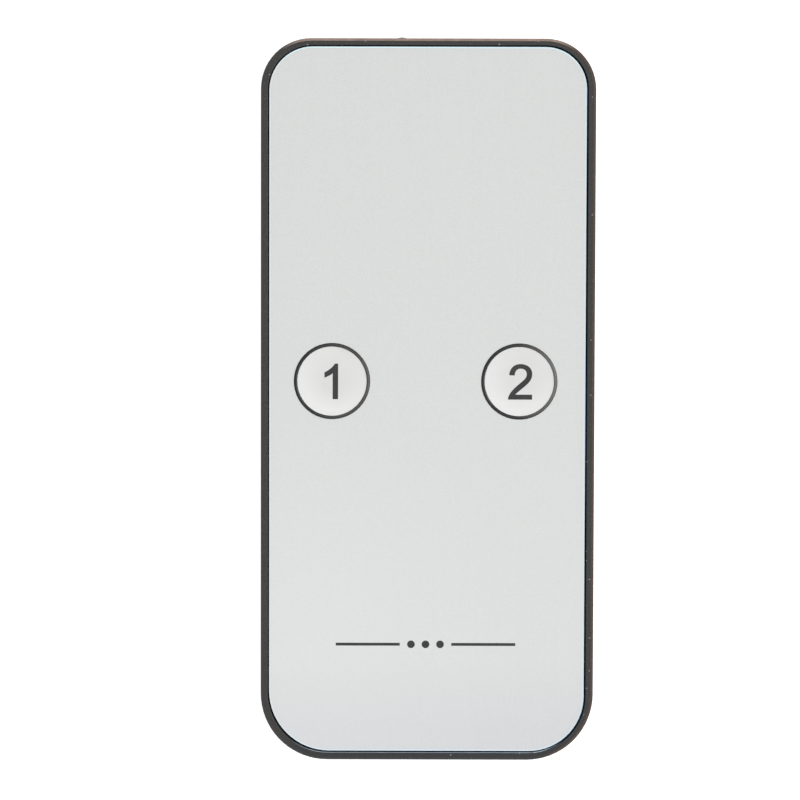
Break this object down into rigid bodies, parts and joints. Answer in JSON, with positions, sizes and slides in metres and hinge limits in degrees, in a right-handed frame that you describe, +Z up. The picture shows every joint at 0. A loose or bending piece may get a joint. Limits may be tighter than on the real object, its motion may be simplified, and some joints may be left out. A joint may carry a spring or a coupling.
{
  "type": "infrared remote control",
  "caption": "Slim card-shaped infrared remote control with ringed press keys, a lamp at the top edge and a coin cell in a pull-out tray.",
  "frame": {"origin": "centre of the case outline on its flat back face", "axes": "+Z up out of the keys, +Y along the case towards the lamp end, +X to the right seen from the front"},
  "size_m": [0.04, 0.0868, 0.007],
  "materials": {
    "case_plastic": "fine spark-eroded texture, dark charcoal",
    "face_film": "satin silver print under clear film",
    "adhesive": "translucent double-sided adhesive",
    "key_film": "light grey print under clear film, dark gloss ring",
    "push_disc": "natural moulded",
    "spring_steel": "thin sprung foil",
    "retainer_sheet": "clear adhesive sheet",
    "board_laminate": "paper phenolic board with green lacquer",
    "copper": "gold-flashed copper",
    "chip_resin": "moulded epoxy",
    "tinned_metal": "tin plated",
    "resonator_coat": "dipped lacquer",
    "ceramic_body": "fired ceramic",
    "lamp_lens": "dark smoke-tinted epoxy",
    "nickel_plate": "bright nickel plate",
    "solder": "solder",
    "cell_steel": "brushed stainless steel",
    "cell_gasket": "grey nylon"
  },
  "bodies": {
    "case": {"back_shell": "case_plastic", "front_shell": "case_plastic", "face_film": "face_film", "film_adhesive": "adhesive", "snap_dome_1": "spring_steel", "snap_dome_2": "spring_steel", "dome_retainer_1": "retainer_sheet", "dome_retainer_2": "retainer_sheet", "circuit_board": "board_laminate", "key_contacts": "copper", "encoder_chip": "chip_resin", "chip_legs": "tinned_metal", "resonator": "resonator_coat", "resonator_legs": "tinned_metal", "drive_transistor": "chip_resin", "transistor_legs": "tinned_metal", "chip_resistors": "chip_resin", "chip_capacitors": "ceramic_body", "lamp_lens": "lamp_lens", "lamp_legs": "tinned_metal", "negative_contact": "nickel_plate", "positive_contact": "nickel_plate", "solder_joints": "solder"},
    "key_1": {"key_1_film": "key_film", "key_1_push_disc": "push_disc"},
    "key_2": {"key_2_film": "key_film", "key_2_push_disc": "push_disc"},
    "battery_drawer": {"battery_tray": "case_plastic", "cell_can": "cell_steel", "cell_gasket": "cell_gasket", "cell_cap": "cell_steel"},
    "latch": {"tray_latch": "case_plastic"}
  },
  "joints": [
    {"name": "key_1_press", "type": "slide", "parent": "case", "child": "key_1", "axis": [0, 0, -1], "range_m": [0, 0.0002], "stiffness_N_per_m": 8000, "deforming": ["snap_dome_1"]},
    {"name": "key_2_press", "type": "slide", "parent": "case", "child": "key_2", "axis": [0, 0, -1], "range_m": [0, 0.0002], "stiffness_N_per_m": 8000, "deforming": ["snap_dome_2"]},
    {"name": "tray_slide", "type": "slide", "parent": "case", "child": "battery_drawer", "axis": [0, -1, 0], "range_m": [0, 0.022]},
    {"name": "latch_squeeze", "type": "hinge", "parent": "battery_drawer", "child": "latch", "pos_m": [-0.0119, -0.0301, 0.0025], "axis": [0, 0, 1], "range_deg": [0, 3.2], "stiffness_Nm_per_rad": 0.27}
  ]
}
